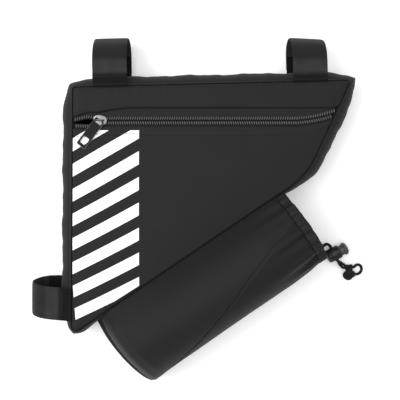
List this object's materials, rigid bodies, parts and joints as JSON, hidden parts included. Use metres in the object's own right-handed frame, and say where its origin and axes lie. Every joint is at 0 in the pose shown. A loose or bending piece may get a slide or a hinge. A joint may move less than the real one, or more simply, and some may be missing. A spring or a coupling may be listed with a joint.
{
  "type": "bicycle bag",
  "caption": "Soft triangular bicycle frame bag lying on its back, with a front zip, hook-and-loop frame straps and a drawcord bottle pocket along its long edge",
  "frame": {"origin": "middle of the footprint, on the floor under the back panel, not counting the free drawcord and its lock", "axes": "+X along the top tube towards the head tube, +Y towards the top tube, +Z out of the front panel, up from the floor"},
  "size_m": [0.3636, 0.373, 0.0799],
  "materials": {
    "body_cloth": "black polyester pack cloth, coated behind, with printed white stripes at the seat end",
    "gusset_cloth": "black polyester pack cloth",
    "hem_cloth": "black binding cloth, turned and stitched",
    "strap_webbing": "black hook-and-loop strap, matt pile",
    "zip_tape": "woven black zip tape",
    "zip_coil": "black nylon coil",
    "slider_metal": "bright plated die casting",
    "pull_metal": "dark lacquered stamped plate with bright edges",
    "lock_plastic": "moulded black plastic",
    "plunger_plastic": "moulded dark grey plastic",
    "cord": "braided black cord"
  },
  "bodies": {
    "root": {"front_panel": "body_cloth", "front_upper_panel": "body_cloth", "back_panel": "body_cloth", "gusset_top": "gusset_cloth", "gusset_seat_upper": "gusset_cloth", "gusset_seat_lower": "gusset_cloth", "gusset_down": "gusset_cloth", "gusset_head": "gusset_cloth", "zip_tape_upper": "zip_tape", "zip_tape_lower": "zip_tape", "zip_teeth_upper": "zip_coil", "zip_teeth_lower": "zip_coil", "zip_slider": "slider_metal", "pocket_front_panel": "body_cloth", "pocket_side_panel": "gusset_cloth", "pocket_bottom": "gusset_cloth", "pocket_hem": "hem_cloth", "top_strap_left_long": "strap_webbing", "top_strap_left_short": "strap_webbing", "top_strap_right_long": "strap_webbing", "top_strap_right_short": "strap_webbing", "seat_strap_long": "strap_webbing", "seat_strap_short": "strap_webbing", "cord_lock_body": "lock_plastic", "drawcord_front": "cord", "drawcord_back": "cord", "cord_loop": "cord", "cord_knot": "cord"},
    "pull": {"zip_pull": "pull_metal"},
    "plunger": {"cord_lock_plunger": "plunger_plastic"}
  },
  "joints": [
    {"name": "pull_swing", "type": "hinge", "parent": "root", "child": "pull", "pos_m": [-0.09578, 0.09317, 0.0508], "axis": [-0.7986, 0.6018, 0], "range_deg": [0, 150]},
    {"name": "plunger_press", "type": "slide", "parent": "root", "child": "plunger", "axis": [-0.8934, -0.4493, 0], "range_m": [0, 0.004], "stiffness_N_per_m": 60}
  ]
}
